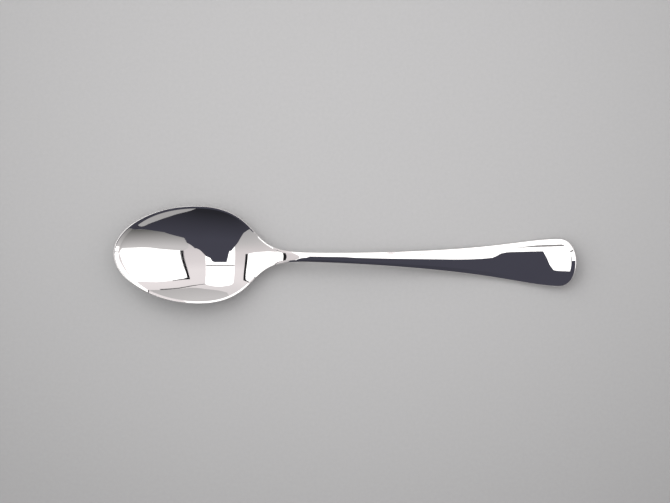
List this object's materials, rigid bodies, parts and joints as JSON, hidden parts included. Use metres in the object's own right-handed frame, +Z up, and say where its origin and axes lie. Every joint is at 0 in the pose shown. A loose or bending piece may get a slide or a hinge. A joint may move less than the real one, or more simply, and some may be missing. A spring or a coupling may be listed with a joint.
{
  "type": "demitasse spoon",
  "caption": "Small one-piece coffee spoon in mirror-polished stainless steel, with an egg-shaped bowl, a slim arched neck and a flared handle with a bevelled border.",
  "frame": {"origin": "on the table, under the middle of the spoon's length and width, with the spoon lying at rest with its bowl facing up", "axes": "+X along the spoon from the bowl's tip to the end of the handle, +Y across it, +Z up, out of the bowl"},
  "size_m": [0.11, 0.0232, 0.0065],
  "materials": {
    "polished_steel": "mirror-polished stainless steel"
  },
  "bodies": {
    "root": {"spoon": "polished_steel"}
  },
  "joints": []
}
